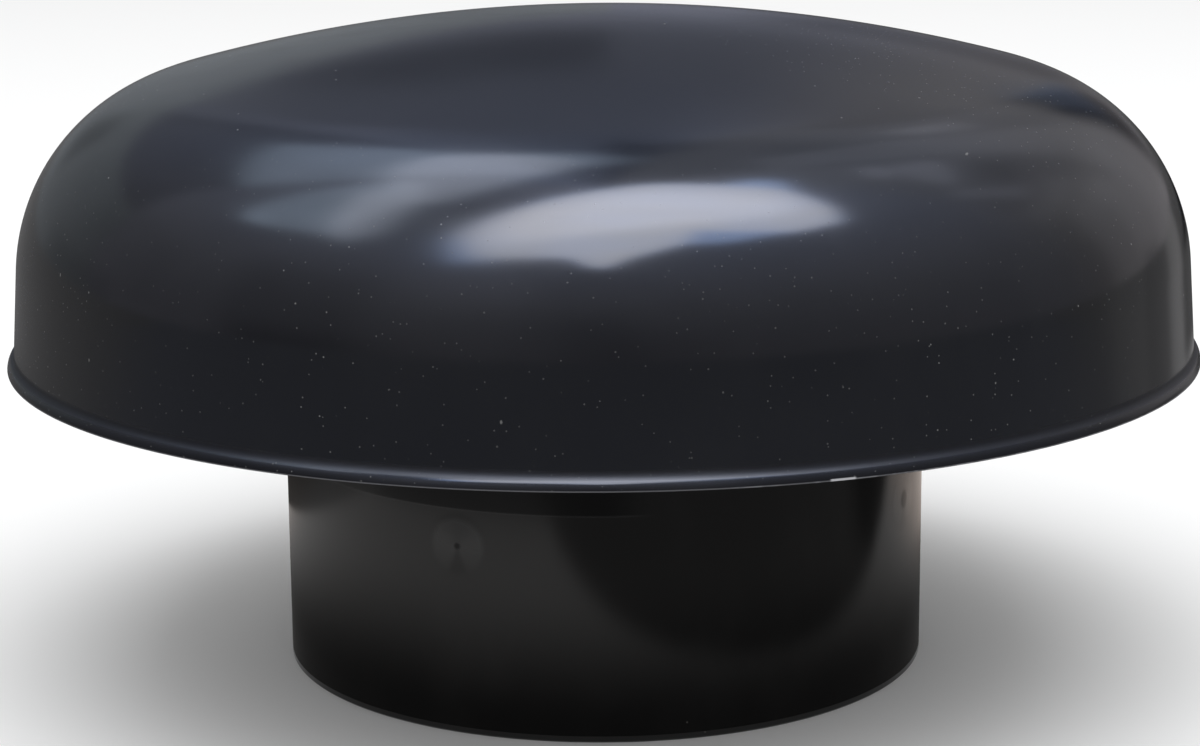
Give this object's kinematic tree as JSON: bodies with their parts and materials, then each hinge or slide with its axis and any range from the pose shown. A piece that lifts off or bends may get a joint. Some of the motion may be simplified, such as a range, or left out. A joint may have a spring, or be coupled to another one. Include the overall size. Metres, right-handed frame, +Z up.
{
  "type": "vent cap",
  "caption": "Round mushroom vent cap: a domed rain hat with a flared lip, held over a plain duct spigot by moulded brackets screwed inside it.",
  "frame": {"origin": "centre of the spigot's foot, on the surface that it stands on", "axes": "+Z up the axis to the crown, a bracket on each of +X, +Y, -X and -Y"},
  "size_m": [0.276, 0.276, 0.1505],
  "materials": {
    "hat_plastic": "satin gloss blue-black",
    "spigot_plastic": "smooth black",
    "bracket_plastic": "fine moulded black",
    "boss_plastic": "matt moulded black",
    "screw_steel": "bright stainless steel"
  },
  "bodies": {
    "root": {"hat": "hat_plastic", "spigot": "spigot_plastic", "bracket_right": "bracket_plastic", "hat_boss_right": "boss_plastic", "tube_screw_right": "screw_steel", "hat_screw_right": "screw_steel", "bracket_back": "bracket_plastic", "hat_boss_back": "boss_plastic", "tube_screw_back": "screw_steel", "hat_screw_back": "screw_steel", "bracket_left": "bracket_plastic", "hat_boss_left": "boss_plastic", "tube_screw_left": "screw_steel", "hat_screw_left": "screw_steel", "bracket_front": "bracket_plastic", "hat_boss_front": "boss_plastic", "tube_screw_front": "screw_steel", "hat_screw_front": "screw_steel"}
  },
  "joints": []
}
